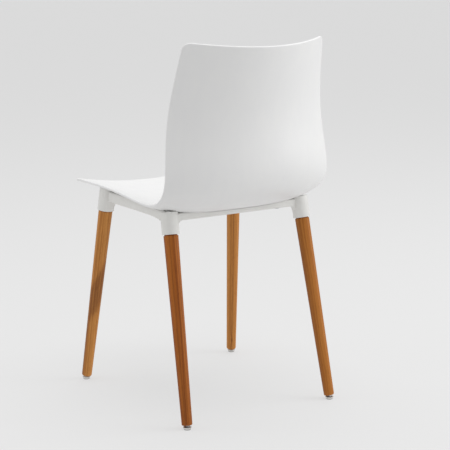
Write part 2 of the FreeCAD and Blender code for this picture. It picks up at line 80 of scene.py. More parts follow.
# ---------------------------------------------------------------- finishes
class Graph:
    """One material's nodes, with a short call for each kind of node the finishes use."""

    def __init__(self, name: str) -> None:
        """Start a material with a Principled shader.

        Args:
            name: the material's name.
        """
        self.material = bpy.data.materials.new(name)
        self.material.use_nodes = True
        self.tree = self.material.node_tree
        self.shader = self.tree.nodes["Principled BSDF"]

    def node(self, kind: str, **settings: object) -> bpy.types.Node:
        """Add a node and set its properties.

        Args:
            kind: Blender's node type.
            settings: the node's own properties, by name.

        Returns:
            The new node.
        """
        made = self.tree.nodes.new(kind)
        for key, value in settings.items():
            setattr(made, key, value)
        return made

    def feed(self, socket: bpy.types.NodeSocket, value: object) -> None:
        """Join a socket to another node's output, or set it to a plain value."""
        if isinstance(value, bpy.types.NodeSocket):
            self.tree.links.new(value, socket)
        elif value is not None:
            socket.default_value = value

    def set(self, **inputs: object) -> None:
        """Feed the Principled shader's sockets; an underscore stands for a space."""
        for key, value in inputs.items():
            self.feed(self.shader.inputs[key.replace("_", " ")], value)

    def place(self) -> bpy.types.NodeSocket:
        """The surface point in the piece's own coordinates, in metres."""
        return self.node("ShaderNodeTexCoord").outputs["Object"]

    def attribute(self, name: str) -> bpy.types.NodeSocket:
        """A vector that the mesh carries on its points."""
        return self.node("ShaderNodeAttribute", attribute_name=name).outputs["Vector"]

    def moved(self, vector: object, shift: tuple = (0, 0, 0), scale: tuple = (1, 1, 1),
              turn: tuple = (0, 0, 0)) -> bpy.types.NodeSocket:
        """Turn, stretch and shift a coordinate with a Mapping node.

        Args:
            vector: the coordinate.
            shift, scale, turn: what the node does to it.

        Returns:
            The mapped vector.
        """
        made = self.node("ShaderNodeMapping")
        self.feed(made.inputs["Vector"], vector)
        made.inputs["Location"].default_value = shift
        made.inputs["Rotation"].default_value = turn
        made.inputs["Scale"].default_value = scale
        return made.outputs["Vector"]

    def noise(self, vector: object, scale: float, detail: float = 2, rough: float = 0.5,
              bend: float = 0) -> bpy.types.NodeSocket:
        """A noise texture's value, from 0 to 1.

        Args:
            vector: where it is read.
            scale, detail, rough, bend: its settings.

        Returns:
            The value's socket.
        """
        made = self.node("ShaderNodeTexNoise")
        self.feed(made.inputs["Vector"], vector)
        for key, value in (("Scale", scale), ("Detail", detail), ("Roughness", rough), ("Distortion", bend)):
            made.inputs[key].default_value = value
        return made.outputs["Fac"]

    def cells(self, vector: object, scale: float) -> bpy.types.NodeSocket:
        """Distance to the nearest of many scattered points."""
        made = self.node("ShaderNodeTexVoronoi")
        self.feed(made.inputs["Vector"], vector)
        made.inputs["Scale"].default_value = scale
        return made.outputs["Distance"]

    def sum(self, kind: str, first: object, second: object = None,
            third: object = None) -> bpy.types.NodeSocket:
        """One step of arithmetic.

        Args:
            kind: the operation, such as ADD or MULTIPLY.
            first, second, third: sockets or plain numbers.

        Returns:
            The result's socket.
        """
        made = self.node("ShaderNodeMath", operation=kind)
        for socket, value in zip(made.inputs, (first, second, third)):
            self.feed(socket, value)
        return made.outputs[0]

    def span(self, value: object, low: float, high: float, new_low: float = 0, new_high: float = 1,
             soft: bool = False) -> bpy.types.NodeSocket:
        """Map the range low to high onto a new range, held at its ends.

        Args:
            value: the socket to map.
            low, high, new_low, new_high: the two ranges.
            soft: whether the change eases in and out.

        Returns:
            The mapped value.
        """
        made = self.node("ShaderNodeMapRange", clamp=True)
        if soft:
            made.interpolation_type = "SMOOTHSTEP"
        for socket, number in zip(made.inputs, (value, low, high, new_low, new_high)):
            self.feed(socket, number)
        return made.outputs[0]

    def mix(self, share: object, first: object, second: object, blend: str = "MIX") -> bpy.types.NodeSocket:
        """Mix two colours by share, which is a socket or a number."""
        made = self.node("ShaderNodeMix", data_type="RGBA", blend_type=blend)
        self.feed(made.inputs[0], share)
        for socket, colour in ((made.inputs[6], first), (made.inputs[7], second)):
            self.feed(socket, (*colour, 1) if isinstance(colour, tuple) else colour)
        return made.outputs[2]

    def split(self, vector: object) -> list[bpy.types.NodeSocket]:
        """The x, y and z of a vector."""
        made = self.node("ShaderNodeSeparateXYZ")
        self.feed(made.inputs[0], vector)
        return list(made.outputs)

    def join(self, x: object, y: object, z: object) -> bpy.types.NodeSocket:
        """A vector from its x, y and z."""
        made = self.node("ShaderNodeCombineXYZ")
        for socket, value in zip(made.inputs, (x, y, z)):
            self.feed(socket, value)
        return made.outputs[0]

    def bump(self, height: object, strength: float, distance: float,
             under: object = None) -> bpy.types.NodeSocket:
        """A bumped normal; under is the normal of a coarser bump below it.

        Args:
            height: the relief.
            strength, distance: how deep it is, the distance in metres.
            under: the coarser normal, or None.

        Returns:
            The normal.
        """
        made = self.node("ShaderNodeBump")
        made.inputs["Strength"].default_value = strength
        made.inputs["Distance"].default_value = distance
        self.feed(made.inputs["Height"], height)
        self.feed(made.inputs["Normal"], under)
        return made.outputs["Normal"]


@dataclass(frozen=True)
class MouldedPlastic:
    """A satin moulding with fine spark-eroded grain from its tool.

    Fields: name; colour and shade, the two tones it drifts between; sheen_low and sheen_high,
    its roughness range; grain, texture cells per metre; depth, the grain's height in metres.
    """

    name: str
    colour: Colour
    shade: Colour
    sheen_low: float = 0.34
    sheen_high: float = 0.44
    grain: float = 1500
    depth: float = 0.00006

    def material(self) -> bpy.types.Material:
        """Make the material.

        Returns:
            The material.
        """
        g = Graph(self.name)
        place = g.place()
        drift = g.noise(place, 7, 3, 0.55)
        flow = g.noise(g.moved(place, scale=(9, 3, 3)), 6, 2, 0.5, 0.6)
        tone = g.span(g.sum("ADD", drift, flow), 0.75, 1.25)
        grain = g.noise(place, self.grain, 2, 0.6)
        pits = g.span(g.cells(place, self.grain * 0.55), 0.1, 0.7)
        height = g.sum("ADD", grain, g.sum("MULTIPLY", pits, 0.5))
        rub = g.noise(place, 38, 4, 0.6)
        rough = g.sum("ADD", g.span(rub, 0.3, 0.7, self.sheen_low, self.sheen_high),
                      g.sum("MULTIPLY", grain, 0.05))
        swell = g.bump(g.noise(place, 16, 1, 0.4), 0.10, 0.0012)
        g.set(Base_Color=g.mix(tone, self.colour, self.shade), Roughness=rough,
              Normal=g.bump(height, 0.35, self.depth, swell), IOR=1.49)
        return g.material


@dataclass(frozen=True)
class PowderCoat:
    """Baked powder paint, with its fine orange-peel skin.

    Fields: name; colour; shade, its tone where the film is thin; peel, ripples per metre.
    """

    name: str
    colour: Colour
    shade: Colour
    peel: float = 420

    def material(self) -> bpy.types.Material:
        """Make the material.

        Returns:
            The material.
        """
        g = Graph(self.name)
        place = g.place()
        ripple = g.noise(place, self.peel, 2, 0.45)
        flecks = g.noise(place, self.peel * 4, 1, 0.5)
        film = g.span(g.noise(place, 22, 3, 0.6), 0.35, 0.7)
        rough = g.sum("ADD", g.span(ripple, 0.3, 0.7, 0.42, 0.52), g.sum("MULTIPLY", flecks, 0.06))
        peel = g.bump(ripple, 0.30, 0.00016)
        g.set(Base_Color=g.mix(film, self.colour, self.shade), Roughness=rough,
              Normal=g.bump(flecks, 0.20, 0.00005, peel))
        return g.material


@dataclass(frozen=True)
class Knot:
    """A small knot near a leg's surface: its height, its place across, and its radius."""

    along: float
    across: float
    size: float


@dataclass(frozen=True)
class HeartAndShadePlane:
    """A plane in the blank with a darker side: heartwood, and on the rear right leg painted shade.

    Fields: slope, how far the plane climbs along the leg for each metre across it; start, its
    height at the leg's axis; above, whether the darker side lies above it; soft, the width of the
    change; a slope of None stands for an upright plane, whose start is then its place across.
    """

    slope: float | None
    start: float
    above: bool = True
    soft: float = 0.003


@dataclass(frozen=True)
class OiledWood:
    """Oiled hardwood turned from one straight-grained blank.

    Fields: name; pale, mid and dark, the tones of early wood, late wood and heartwood, dark also
    the tone of painted shade; pith, the middle of the growth rings from the leg's axis, in metres;
    ring, the rings' spacing; seed, a shift that makes each blank's figure its own; lines, the
    strength of the dark lines between its rings; hearts_and_shade, the planes that bound its
    heartwood and its painted shade, which must all hold; streaks, upright dark lines as
    (place across, width, strength); knots.
    """

    name: str
    pale: Colour
    mid: Colour
    dark: Colour
    pith: Point2
    ring: float
    seed: float
    lines: float = 0.5
    hearts_and_shade: tuple[tuple[HeartAndShadePlane, ...], ...] = ()
    heart_and_shade_depth: float = 0.8
    streaks: tuple[tuple[float, float, float], ...] = ()
    knots: tuple[Knot, ...] = ()

    def material(self) -> bpy.types.Material:
        """Make the material. It reads the leg's own axes from the mesh attribute named grain.

        Returns:
            The material.
        """
        g = Graph(self.name)
        here = g.attribute("grain")
        grain = g.moved(here, shift=(0, 0, self.seed))
        x, y, along = g.split(here)
        across = g.sum("ADD", g.sum("MULTIPLY", x, SHOW_FACE[0]), g.sum("MULTIPLY", y, SHOW_FACE[1]))
        sway = g.moved(grain, scale=(14, 14, 3.0))
        waver = g.span(g.noise(sway, 1, 3, 0.55), 0, 1, -0.006, 0.006)
        from_x = g.sum("SUBTRACT", g.sum("ADD", x, waver), self.pith[0])
        from_y = g.sum("SUBTRACT", g.sum("SUBTRACT", y, waver), self.pith[1])
        radius = g.sum("SQRT", g.sum("ADD", g.sum("MULTIPLY", from_x, from_x),
                                     g.sum("MULTIPLY", from_y, from_y)))
        radius, flame = self.round_knots(g, across, along, radius)
        rings = g.noise(g.join(g.sum("DIVIDE", radius, self.ring), self.seed, 0), 1.0, 3, 0.62)
        ring_tone = g.span(rings, 0.36, 0.66, soft=True)
        fibre = g.noise(g.moved(grain, scale=(1100, 1100, 16)), 1, 3, 0.6)
        streak = g.noise(g.moved(grain, scale=(210, 210, 3.4)), 1, 3, 0.6, 0.3)
        cloud = g.noise(g.moved(grain, scale=(36, 36, 6)), 1, 2, 0.5)
        flecks = g.noise(g.moved(grain, scale=(1700, 1700, 85)), 1, 1, 0.5)
        pores = g.span(flecks, 0.62, 0.70)
        tone = g.sum("ADD", g.sum("MULTIPLY", ring_tone, 0.45), g.sum("MULTIPLY", streak, 0.75))
        tone = g.sum("ADD", tone, g.sum("MULTIPLY", cloud, 0.50))
        colour = g.mix(g.span(tone, 0.50, 1.10), self.pale, self.mid)
        # heartwood, with painted shade on the rear right leg, then knots and late-wood lines, as one
        # darkness
        dark_figure_and_shade = self.heartwood(g, across, along, grain)
        dark_figure_and_shade = g.sum("MAXIMUM", dark_figure_and_shade, flame)
        late = g.span(g.sum("ADD", ring_tone, g.sum("MULTIPLY", fibre, 0.6)), 0.95, 1.40)
        dark_figure_and_shade = g.sum("MAXIMUM", dark_figure_and_shade, g.sum("MULTIPLY", late, self.lines))
        colour = g.mix(dark_figure_and_shade, colour, self.dark)
        colour = g.mix(g.sum("MULTIPLY", g.span(fibre, 0.50, 0.72), 0.22), colour, self.dark)
        colour = g.mix(g.sum("MULTIPLY", pores, 0.35), colour, self.dark)
        colour = g.mix(g.sum("MULTIPLY", g.span(flecks, 0.40, 0.30), 0.20), colour, self.pale)
        rough = g.sum("ADD", g.span(streak, 0.3, 0.7, 0.44, 0.56), g.sum("MULTIPLY", pores, 0.2))
        height = g.sum("SUBTRACT", g.sum("ADD", fibre, g.sum("MULTIPLY", ring_tone, 0.4)),
                       g.sum("MULTIPLY", pores, 1.2))
        g.set(Base_Color=colour, Roughness=rough, Normal=g.bump(height, 0.35, 0.00012),
              Specular_IOR_Level=0.22)
        return g.material

    def heartwood(self, g: Graph, across: object, along: object, grain: object) -> object:
        """How dark the heartwood, the painted shade and the upright streaks make the surface, from 0 to 1.

        Args:
            g: the material's graph.
            across, along: the leg's coordinates on its show face.
            grain: the leg's coordinates, shifted for this blank.

        Returns:
            The darkness, as a socket or 0.
        """
        waver = g.span(g.noise(g.moved(grain, scale=(90, 90, 12)), 1, 3, 0.6), 0, 1, -0.5, 0.5)
        figure = g.span(g.noise(g.moved(grain, scale=(260, 260, 9)), 1, 3, 0.65), 0.30, 0.70, 0.42, 1)
        dark: object = 0.0
        for planes in self.hearts_and_shade:
            inside: object = 1.0
            for plane in planes:
                if plane.slope is None:
                    reach = g.sum("SUBTRACT", across, plane.start)
                    wander = UPRIGHT_WANDER
                else:
                    level = g.sum("MULTIPLY", across, plane.slope)
                    reach = g.sum("SUBTRACT", g.sum("SUBTRACT", along, level), plane.start)
                    wander = SLOPING_WANDER
                reach = g.sum("ADD", reach, g.sum("MULTIPLY", waver, wander))
                ends = (-plane.soft, plane.soft) if plane.above else (plane.soft, -plane.soft)
                inside = g.sum("MULTIPLY", inside, g.span(reach, *ends, soft=True))
            dark = g.sum("MAXIMUM", dark, inside)
        if self.hearts_and_shade:
            dark = g.sum("MULTIPLY", g.sum("MULTIPLY", dark, self.heart_and_shade_depth), figure)
        for place, width, strength in self.streaks:
            reach = g.sum("ADD", g.sum("SUBTRACT", across, place), g.sum("MULTIPLY", waver, STREAK_WANDER))
            line = g.span(g.sum("ABSOLUTE", reach), width, width * 0.2, 0, strength, soft=True)
            dark = g.sum("MAXIMUM", dark, g.sum("MULTIPLY", line, figure))
        return dark

    def round_knots(self, g: Graph, across: object, along: object,
                    radius: object) -> tuple[object, object]:
        """Bend the rings round each knot, and darken its middle.

        Args:
            g: the material's graph.
            across, along: the leg's coordinates on its show face.
            radius: distance from the pith before the knots.

        Returns:
            The bent radius, and how dark the knots make the surface.
        """
        flame: object = 0.0
        for knot in self.knots:
            side = g.sum("DIVIDE", g.sum("SUBTRACT", across, knot.across), knot.size)
            rise = g.sum("DIVIDE", g.sum("SUBTRACT", along, knot.along), knot.size * 3.6)
            square = g.sum("ADD", g.sum("MULTIPLY", side, side), g.sum("MULTIPLY", rise, rise))
            near = g.sum("DIVIDE", 1, g.sum("ADD", square, 1))
            radius = g.sum("ADD", radius, g.sum("MULTIPLY", near, knot.size * 2.4))
            flame = g.sum("MAXIMUM", flame, g.span(near, 0.45, 0.95, 0, 0.75, soft=True))
        return radius, flame


@dataclass(frozen=True)
class PlatedMetal:
    """A plated or machined metal part, with faint turning marks.

    Fields: name; colour; rough_low and rough_high, its roughness range; marks per metre of height.
    """

    name: str
    colour: Colour
    rough_low: float = 0.22
    rough_high: float = 0.36
    marks: float = 2600

    def material(self) -> bpy.types.Material:
        """Make the material.

        Returns:
            The material.
        """
        g = Graph(self.name)
        place = g.place()
        turned = g.noise(g.moved(place, scale=(40, 40, self.marks)), 1, 2, 0.5)
        stain = g.noise(place, 260, 3, 0.6)
        dark = tuple(0.72 * value for value in self.colour)
        g.set(Base_Color=g.mix(g.span(stain, 0.35, 0.75), self.colour, dark), Metallic=1.0,
              Roughness=g.span(g.sum("ADD", turned, stain), 0.7, 1.3, self.rough_low, self.rough_high),
              Normal=g.bump(turned, 0.2, 0.00004))
        return g.material


@dataclass(frozen=True)
class StudioPaper:
    """The studio's floor: matt paper over a light table, so that shadows on it stay faint.

    Fields: name; colour and far_colour, what it reflects near the chair and far from it; glow,
    the light that comes up through it.
    """

    name: str
    colour: Colour
    far_colour: Colour
    glow: float

    def material(self) -> bpy.types.Material:
        """Make the material.

        Returns:
            The material.
        """
        g = Graph(self.name)
        place = g.place()
        x, y, _ = g.split(place)
        reach = g.sum("SQRT", g.sum("ADD", g.sum("MULTIPLY", x, x), g.sum("MULTIPLY", y, y)))
        tooth = g.noise(place, 900, 2, 0.6)
        g.set(Base_Color=g.mix(g.span(reach, 1.0, 9.0, soft=True), self.colour, self.far_colour),
              Roughness=g.span(tooth, 0.3, 0.7, 0.85, 0.95), Normal=g.bump(tooth, 0.1, 0.0001),
              Emission_Color=(1, 1, 1, 1), Emission_Strength=self.glow, Specular_IOR_Level=0.1)
        return g.material


SHELL_PLASTIC = MouldedPlastic("satin_white_plastic", (0.80, 0.80, 0.795), (0.785, 0.785, 0.785))
FRAME_COAT = PowderCoat("white_powder_coat", (0.770, 0.765, 0.740), (0.740, 0.735, 0.710))
NICKEL = PlatedMetal("nickel_plate", (0.74, 0.73, 0.70))
ZINC = PlatedMetal("zinc_plate", (0.60, 0.61, 0.63), 0.30, 0.45)
BRASS = PlatedMetal("turned_brass", (0.68, 0.49, 0.22), 0.28, 0.42)
RUBBER = MouldedPlastic("black_rubber", (0.035, 0.035, 0.036), (0.05, 0.05, 0.05), 0.62, 0.75, 900)
NYLON = MouldedPlastic("grey_nylon", (0.16, 0.16, 0.165), (0.20, 0.20, 0.20), 0.42, 0.52, 1200)
PAPER = StudioPaper("studio_paper", (0.23, 0.23, 0.23), (0.24, 0.24, 0.24), 0.545)


# ---------------------------------------------------------------- mesh helpers
def arc(centre: Point2, radius: float, start: float, end: float, steps: int) -> list[Point2]:
    """Points along an arc of a profile.

    Args:
        centre: the arc's centre, as radius and height.
        radius: the arc's radius.
        start, end: its first and last angle, in degrees from the outward direction.
        steps: how many segments it has.

    Returns:
        The points, both ends among them.
    """
    angles = [math.radians(start + (end - start) * i / steps) for i in range(steps + 1)]
    return [(centre[0] + radius * math.cos(a), centre[1] + radius * math.sin(a)) for a in angles]


def spun(bm: bmesh.types.BMesh, profile: list[Point2], steps: int, placed: Matrix) -> None:
    """Add a body of revolution to a mesh.

    Args:
        bm: the mesh it joins.
        profile: radius and height of each point, from the axis round and back to it.
        steps: segments round the axis.
        placed: turns and moves the body from the z axis to its place.
    """
    verts = [bm.verts.new((radius, 0, height)) for radius, height in profile]
    edges = [bm.edges.new(pair) for pair in zip(verts, verts[1:])]
    if profile[0][0] > 0:
        edges.append(bm.edges.new((verts[-1], verts[0])))
    before = set(bm.verts) - set(verts)
    bmesh.ops.spin(bm, geom=verts + edges, cent=(0, 0, 0), axis=(0, 0, 1), angle=math.tau,
                   steps=steps, use_merge=True)
    new = [v for v in bm.verts if v not in before]
    bmesh.ops.remove_doubles(bm, verts=new, dist=1e-7)
    new = [v for v in bm.verts if v not in before]
    faces = list({face for vert in new for face in vert.link_faces})
    bmesh.ops.recalc_face_normals(bm, faces=faces)
    bmesh.ops.transform(bm, matrix=placed, verts=new)


def finished(bm: bmesh.types.BMesh, name: str, material: bpy.types.Material,
             sharp: float = 40) -> bpy.types.Object:
    """Turn a mesh into a piece that sits at the origin.

    Args:
        bm: the finished mesh, freed here.
        name: the piece's name.
        material: its finish.
        sharp: edges that turn by more degrees than this stay crisp.

    Returns:
        The new object.
    """
    mesh = bpy.data.meshes.new(name)
    bm.to_mesh(mesh)
    bm.free()
    mesh.materials.append(material)
    mesh.shade_smooth()
    mesh.set_sharp_from_angle(angle=math.radians(sharp))
    piece = bpy.data.objects.new(name, mesh)
    bpy.context.scene.collection.objects.link(piece)
    return piece


def towards(start: Vector, direction: Vector) -> Matrix:
    """The placement that carries the z axis onto a line."""
    return Matrix.Translation(start) @ Z_AXIS.rotation_difference(direction).to_matrix().to_4x4()


# ---------------------------------------------------------------- the moulded shell
@dataclass
class ShellSurface:
    """The outer face of the moulded sheet, as nine ribs joined by smooth curves.

    Sizes are in metres. The ribs, in order, are the lip, the thigh rest, the front and the rear
    of the seat, the hollow, the bend, the foot and the small of the back, and the top.
    """

    height: float = 0.813
    depth: float = 0.532
    seat_width: float = 0.410
    back_top_width: float = 0.349
    lip_height: float = 0.450
    dish: float = 0.013
    side_rise: float = 0.0338
    wrap: float = 0.065
    back_side_rise: float = 0.007
    top_dip: float = 0.0114
    top_corner: float = 0.015
    wall: float = 0.0055

    def __post_init__(self) -> None:
        """Work out the rib values."""
        rise = self.height - self.lip_height
        half, half_top = self.seat_width / 2, self.back_top_width / 2
        corner_share = ((half_top - self.top_corner / 2) / half_top) ** 2
        self.mid_y = [-self.depth / 2 + share * self.depth
                      for share in (0, 0.18, 0.38, 0.59, 0.778, 0.933, 0.963, 0.931, 1)]
        self.mid_z = [self.lip_height - share * self.dish for share in (0, 0.46, 0.70, 0.95, 1)]
        self.mid_z += [self.lip_height + share * rise for share in (0.110, 0.286, 0.559)]
        self.mid_z += [self.height - self.top_dip]
        extras = (-0.0045, 0.0002, 0.0003, -0.0002, 0.0018, 0.0042, 0, -0.0108)
        self.half_widths = [half + extra for extra in extras] + [half_top]
        self.side_y = [y - share * self.wrap for y, share in
                       zip(self.mid_y, (0, 0, 0, 0.10, 0.33, 0.83, 1.10, 1.09, 0.985))]
        self.side_z = [z + share * self.side_rise for z, share in
                       zip(self.mid_z, (0.64, 0.91, 1, 0.75, 0.69))]
        self.side_z += [z + share * self.back_side_rise for z, share in
                        zip(self.mid_z[5:8], (1.2, 0.85, 1))]
        self.side_z += [self.mid_z[-1] + self.top_dip / corner_share]
        self.flatness = [0.15, 0.25, 0.45, 0.75, 0.75, 0.33, 0.10, 0, 0]
        places = [i / 400 for i in range(401)]
        middle = [self.point(place, 0) for place in places]
        self.lengths = [0.0]
        for first, second in zip(middle, middle[1:]):
            self.lengths.append(self.lengths[-1] + (second - first).length)

    @property
    def length(self) -> float:
        """The sheet's length along its middle."""
        return self.lengths[-1]

    def place_at(self, run: float) -> float:
        """The place, from 0 at the lip to 1 at the top, after a run along the middle."""
        run = min(max(run, 0), self.length)
        spot = min(bisect_right(self.lengths, run), len(self.lengths) - 1)
        low, high = self.lengths[spot - 1], self.lengths[spot]
        return (spot - 1 + (run - low) / (high - low)) / (len(self.lengths) - 1)

    @staticmethod
    def smooth(values: list[float], place: float) -> float:
        """A smooth curve through evenly spaced control values.

        Args:
            values: the control values.
            place: from 0 at the first to 1 at the last.

        Returns:
            The curve's value.
        """
        padded = [2 * values[0] - values[1], *values, 2 * values[-1] - values[-2]]
        spot = place * (len(values) - 1)
        first = min(int(spot), len(values) - 2)
        u = spot - first
        weights = ((1 - u) ** 3, 3 * u ** 3 - 6 * u ** 2 + 4,
                   -3 * u ** 3 + 3 * u ** 2 + 3 * u + 1, u ** 3)
        return sum(w * padded[first + i] for i, w in enumerate(weights)) / 6

    def point(self, place: float, across: float) -> Vector:
        """A point of the outer face; across runs from -1 to 1.

        Args:
            place: from 0 at the lip to 1 at the top.
            across: from -1 on the right to 1 on the left.

        Returns:
            The point.
        """
        flat = self.smooth(self.flatness, place)
        bow = (1 - flat) * across ** 2 + flat * across ** 4
        y, z = self.smooth(self.mid_y, place), self.smooth(self.mid_z, place)
        y += (self.smooth(self.side_y, place) - y) * bow
        z += (self.smooth(self.side_z, place) - z) * bow
        return Vector((self.smooth(self.half_widths, place) * across, y, z))

    def inward(self, place: float, across: float) -> Vector:
        """The unit vector from the outer face towards the sitter.

        Args:
            place, across: as for point.

        Returns:
            The vector.
        """
        step = 0.002
        low, high = max(place - step, 0), min(place + step, 1)
        left, right = max(across - step, -1), min(across + step, 1)
        upward = self.point(high, across) - self.point(low, across)
        sideways = self.point(place, right) - self.point(place, left)
        return sideways.cross(upward).normalized()

    def underside(self, x: float, y: float) -> Vector:
        """The point of the seat's underside over a point of the floor.

        Args:
            x, y: the point of the floor.

        Returns:
            The point of the underside.
        """
        place, across = 0.4, 0.0
        for _ in range(40):
            miss = Vector((x, y, 0)) - self.point(place, across)
            place += miss.y / self.depth / 2
            across += miss.x / (self.seat_width / 2)
        return self.point(place, across)


@dataclass
class SeatShell:
    """The one-piece seat and back, with rounded rims and the bosses that its screws enter.

    Fields: surface; cells_across and cells_along, its mesh; rim, the rounding along its edges;
    front_corner and top_corner, the radii of its outline.
    """

    surface: ShellSurface = field(default_factory=ShellSurface)
    cells_across: int = 64
    cells_along: int = 132
    rim: float = 0.002
    rim_steps: int = 4
    front_corner: float = 0.022
    top_corner: float = 0.015
    corner_steps: int = 10
    boss_radius: float = 0.0085
    boss_flare: float = 0.0024
    boss_edge: float = 0.0005
    boss_sunk: float = 0.002
    buffer_radius: float = 0.011
    buffer_thickness: float = 0.0026

    def outline(self) -> bmesh.types.BMesh:
        """The flat outline of the sheet, with rounded corners and its real length.

        Returns:
            The outline, as one face.
        """
        bm = bmesh.new()
        bmesh.ops.create_grid(bm, x_segments=1, y_segments=1, size=1)
        half_lip, half_top = self.surface.half_widths[0], self.surface.half_widths[-1]
        length = self.surface.length
        bmesh.ops.translate(bm, vec=(0, 1, 0), verts=bm.verts)
        bmesh.ops.scale(bm, vec=(half_lip, length / 2, 1), verts=bm.verts)
        front = [v for v in bm.verts if v.co.y < length / 2]
        self.round_off(bm, front, self.front_corner)
        bmesh.ops.scale(bm, vec=(half_top / half_lip, 1, 1), verts=bm.verts)
        top = [v for v in bm.verts if v.co.y > length * 0.9]
        self.round_off(bm, top, self.top_corner)
        return bm

    def round_off(self, bm: bmesh.types.BMesh, corners: list, radius: float) -> None:
        """Round corners of the flat outline."""
        bmesh.ops.bevel(bm, geom=corners, offset=radius, offset_type="OFFSET", affect="VERTICES",
                        segments=self.corner_steps, profile=0.5, material=-1, clamp_overlap=True)

    def sheet(self) -> bmesh.types.BMesh:
        """The flat sheet: rings along its rim, then cells, with each point's depth in the wall.

        Returns:
            The sheet.
        """
        bm = self.outline()
        depth = bm.verts.layers.float.new("depth")
        face = next(iter(bm.faces))
        for vert in face.verts:
            vert[depth] = self.rim
        last = 0.0
        for step in range(1, self.rim_steps + 2):
            turn = math.radians(90 * step / self.rim_steps)
            reach = self.rim * (1 - math.cos(turn)) if step <= self.rim_steps else self.rim * 1.3
            bmesh.ops.inset_region(bm, faces=[face], thickness=reach - last, depth=0,
                                   use_boundary=True, use_even_offset=True)
            last = reach
            level = self.rim * (1 - math.sin(turn)) if step <= self.rim_steps else 0.0
            for vert in face.verts:
                vert[depth] = level
        half = self.surface.half_widths[-1]
        for i in range(1, self.cells_across):
            self.slice(bm, (half * (2 * i / self.cells_across - 1), 0, 0), (1, 0, 0))
        for i in range(1, self.cells_along):
            self.slice(bm, (0, self.surface.length * i / self.cells_along, 0), (0, 1, 0))
        return bm

    @staticmethod
    def slice(bm: bmesh.types.BMesh, point: tuple, normal: tuple) -> None:
        """Cut every face that a plane crosses."""
        bmesh.ops.bisect_plane(bm, geom=bm.verts[:] + bm.edges[:] + bm.faces[:], dist=1e-6,
                               plane_co=point, plane_no=normal)

    def wall(self) -> bmesh.types.BMesh:
        """The closed wall: the sheet's outer and inner skins, bent to shape and bridged.

        Returns:
            The wall.
        """
        bm = self.sheet()
        depth = bm.verts.layers.float["depth"]
        copied = bmesh.ops.duplicate(bm, geom=bm.verts[:] + bm.edges[:] + bm.faces[:])["geom"]
        for item in copied:
            if isinstance(item, bmesh.types.BMVert):
                item[depth] = self.surface.wall - item[depth]
        inner = [item for item in copied if isinstance(item, bmesh.types.BMFace)]
        bmesh.ops.reverse_faces(bm, faces=inner)
        half = self.surface.half_widths[-1]
        for vert in bm.verts:
            place = self.surface.place_at(vert.co.y)
            across = min(max(vert.co.x / half, -1), 1)
            point = self.surface.point(place, across)
            vert.co = point + self.surface.inward(place, across) * vert[depth]
        rim = [edge for edge in bm.edges if edge.is_boundary]
        bmesh.ops.bridge_loops(bm, edges=rim)
        bmesh.ops.recalc_face_normals(bm, faces=bm.faces)
        return bm

    def add_bosses(self, bm: bmesh.types.BMesh) -> None:
        """Stand a flared boss over each buffer, with its top hidden in the wall.

        Args:
            bm: the wall, which gains the bosses.
        """
        low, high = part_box("shell_buffers")
        reach = high.x - self.buffer_radius
        feet = [(low.y + self.buffer_radius, high.z),
                (high.y - self.buffer_radius, low.z + self.buffer_thickness)]
        for y, base in feet:
            for side in Side:
                x = side.value * reach
                top = self.surface.underside(x, y).z - base
                radius, flare = self.boss_radius, self.boss_flare
                profile = [(0, 0), (radius - self.boss_edge, 0), (radius, self.boss_edge),
                           (radius, top - flare)]
                profile += arc((radius + flare, top - flare), flare, 180, 100, 4)[1:]
                hidden = top + self.boss_sunk
                profile += [(radius + flare * 0.6, hidden), (0, hidden)]
                spun(bm, profile, 40, Matrix.Translation((x, y, base)))

    def build(self) -> bpy.types.Object:
        """Build the shell and let it stand for the CAD one.

        Returns:
            The shell.
        """
        bm = self.wall()
        self.add_bosses(bm)
        piece = finished(bm, "moulded_shell", SHELL_PLASTIC.material(), 60)
        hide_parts("seat_shell")
        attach(piece, CHAIR)
        return piece


# ---------------------------------------------------------------- under-frame
@dataclass
class UnderFrame:
    """The one-piece metal under-frame, taken from the CAD and given softened edges.

    Fields: edge, the rounding that the paint leaves on each crisp edge; crisp, the least turn
    in degrees of an edge that gets it.
    """

    edge: float = 0.0005
    crisp: float = 32

    def build(self) -> bpy.types.Object:
        """Copy, merge and soften the CAD mesh.

        Returns:
            The under-frame.
        """
        bm = bmesh.new()
        bm.from_mesh(frame["nodes"]["seat_frame"].data)
        bmesh.ops.remove_doubles(bm, verts=bm.verts, dist=1e-6)
        bmesh.ops.dissolve_limit(bm, angle_limit=math.radians(0.4), verts=bm.verts, edges=bm.edges)
        turn = math.radians(self.crisp)
        edges = [e for e in bm.edges if len(e.link_faces) == 2 and e.calc_face_angle(0) > turn]
        bmesh.ops.bevel(bm, geom=edges, offset=self.edge, offset_type="OFFSET", affect="EDGES",
                        segments=2, profile=0.5, material=-1, clamp_overlap=True)
        piece = finished(bm, "under_frame", FRAME_COAT.material(), 38)
        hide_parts("seat_frame")
        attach(piece, CHAIR)
        return piece


# ---------------------------------------------------------------- legs and glides
# lean in degrees seen from the front and from the side, then the height where the sockets start
STANCES = {End.FRONT: (4.15, 8.80, 0.4142), End.REAR: (2.35, 12.00, 0.4052)}


